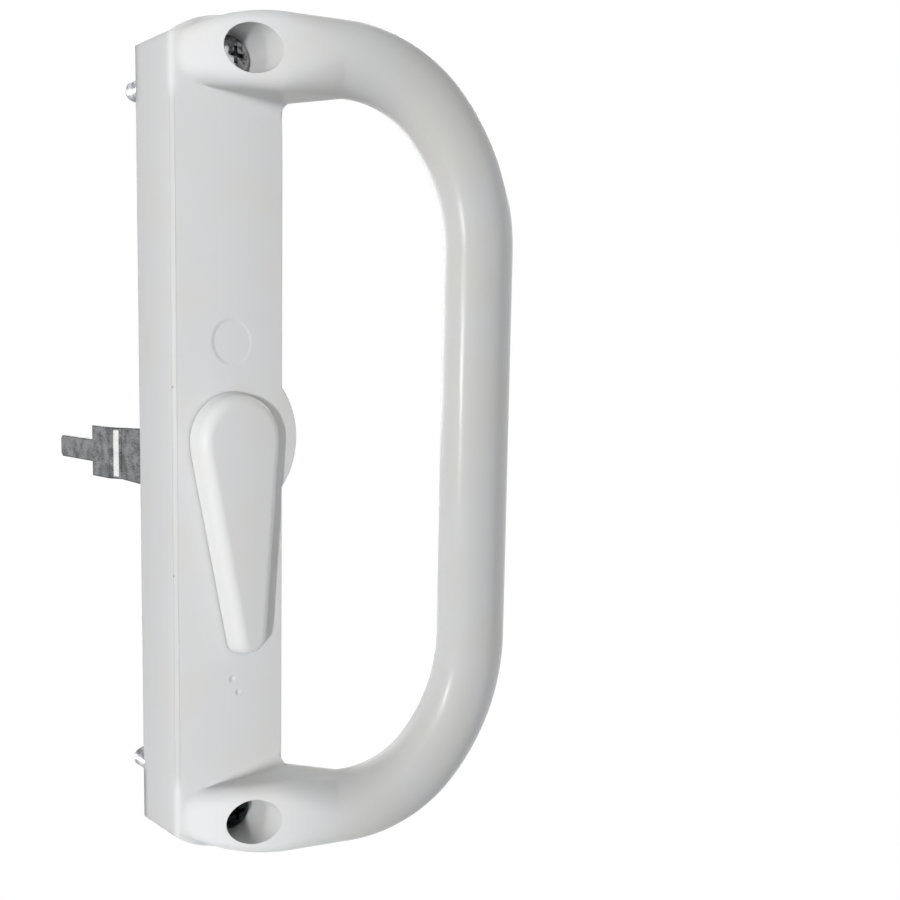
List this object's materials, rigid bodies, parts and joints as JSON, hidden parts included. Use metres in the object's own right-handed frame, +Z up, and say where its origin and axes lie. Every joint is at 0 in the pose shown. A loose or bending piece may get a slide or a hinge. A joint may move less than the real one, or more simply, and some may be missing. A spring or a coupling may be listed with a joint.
{
  "type": "sliding patio door handle",
  "caption": "Interior sliding patio door handle: enamelled escutcheon plate with a canted D-shaped pull loop, a teardrop thumb lever that turns a cranked tailpiece, and mounting screws.",
  "frame": {"origin": "on the door face, midway between the two mounting screws", "axes": "+Z up along the plate, +Y into the door, +X from the plate towards the grip"},
  "size_m": [0.0695, 0.1003, 0.188],
  "materials": {
    "enamel": "white semi-gloss enamel on a die casting",
    "acetal": "natural moulded acetal",
    "spring_steel": "oiled spring steel",
    "zinc_plate": "dull zinc plate on a steel stamping",
    "screw_steel": "bright zinc plate on steel screws"
  },
  "bodies": {
    "handle": {"handle_casting": "enamel", "pivot_bushing": "acetal", "mounting_screws": "screw_steel"},
    "thumb_turn": {"thumb_lever": "enamel", "spring_washer": "spring_steel", "tailpiece": "zinc_plate", "retaining_clip": "spring_steel"}
  },
  "joints": [
    {"name": "lever_turn", "type": "hinge", "parent": "handle", "child": "thumb_turn", "pos_m": [0, 0, 0.0015], "axis": [0, -1, 0], "range_deg": [0, 90]}
  ]
}
